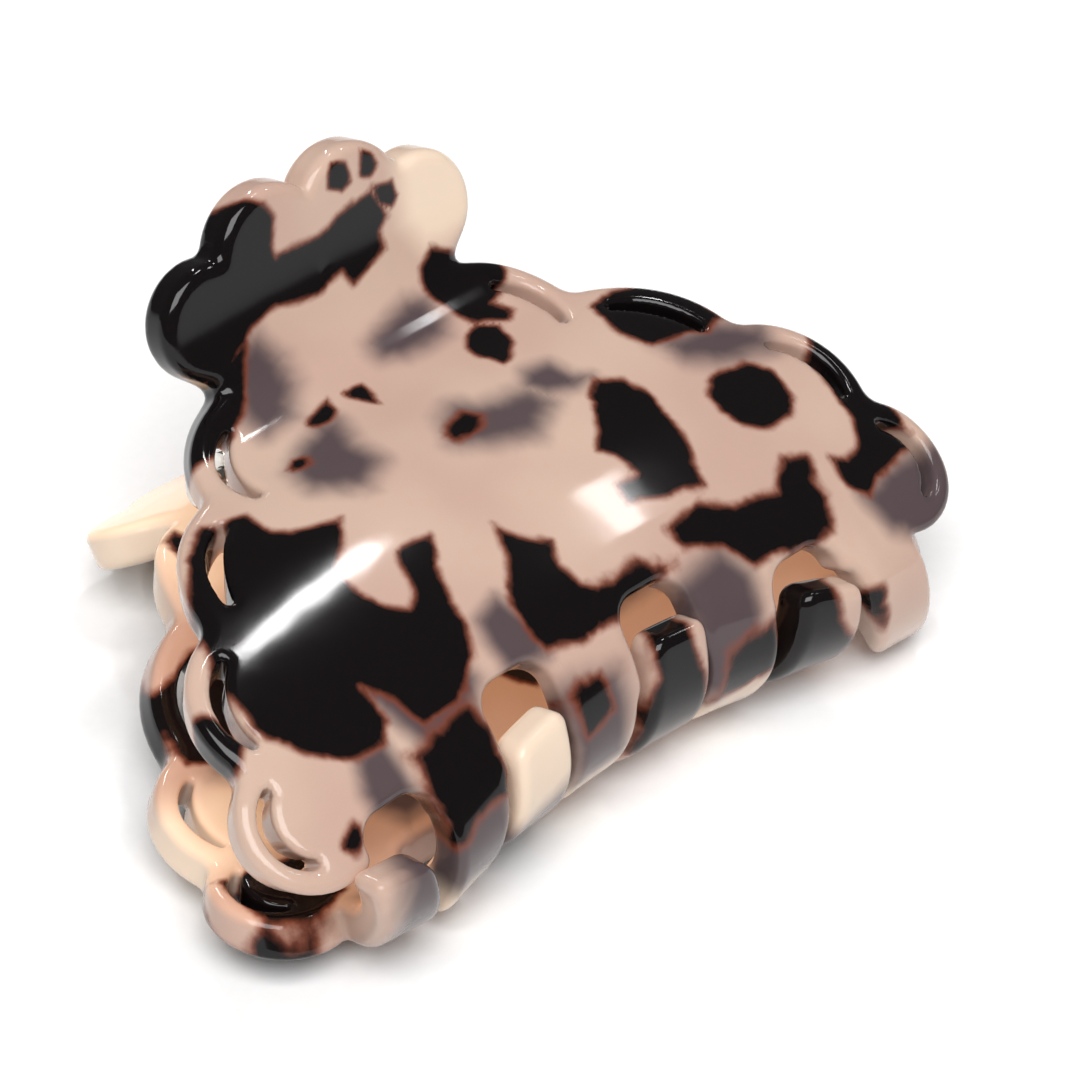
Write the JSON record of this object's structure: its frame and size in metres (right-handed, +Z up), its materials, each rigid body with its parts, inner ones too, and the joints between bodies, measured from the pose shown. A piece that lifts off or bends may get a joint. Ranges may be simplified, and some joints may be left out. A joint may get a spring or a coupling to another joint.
{
  "type": "hair claw clip",
  "caption": "Sprung hair claw clip with two scalloped press-formed jaws, crescent slots, interleaved curled teeth and thumb tabs",
  "frame": {"origin": "centre of the footprint box on the resting plane, below the clip", "axes": "X along the hinge pin, Z up from the resting plane, Y from the teeth towards the thumb tabs"},
  "size_m": [0.0834, 0.0628, 0.0469],
  "materials": {
    "front_jaw": "polished cellulose acetate, pale beige with dark brown patches",
    "rear_jaw": "polished cellulose acetate, pale beige with dark brown patches",
    "bracket": "nickel-plated stamped steel",
    "screw": "nickel-plated",
    "pin": "nickel-plated, domed ends",
    "spring": "gold-coloured plated wire"
  },
  "bodies": {
    "rear": {"rear_jaw": "rear_jaw", "rear_bracket": "bracket", "rear_screws": "screw", "hinge_pin": "pin", "hinge_spring": "spring"},
    "front": {"front_jaw": "front_jaw", "front_bracket": "bracket", "front_screws": "screw"}
  },
  "joints": [
    {"name": "jaw_hinge", "type": "hinge", "parent": "rear", "child": "front", "pos_m": [0, 0.01185, 0.02044], "axis": [-1, 0, 0], "range_deg": [0, 50], "stiffness_Nm_per_rad": 0.14, "springref_deg": -40.11, "deforming": ["hinge_spring"]}
  ]
}
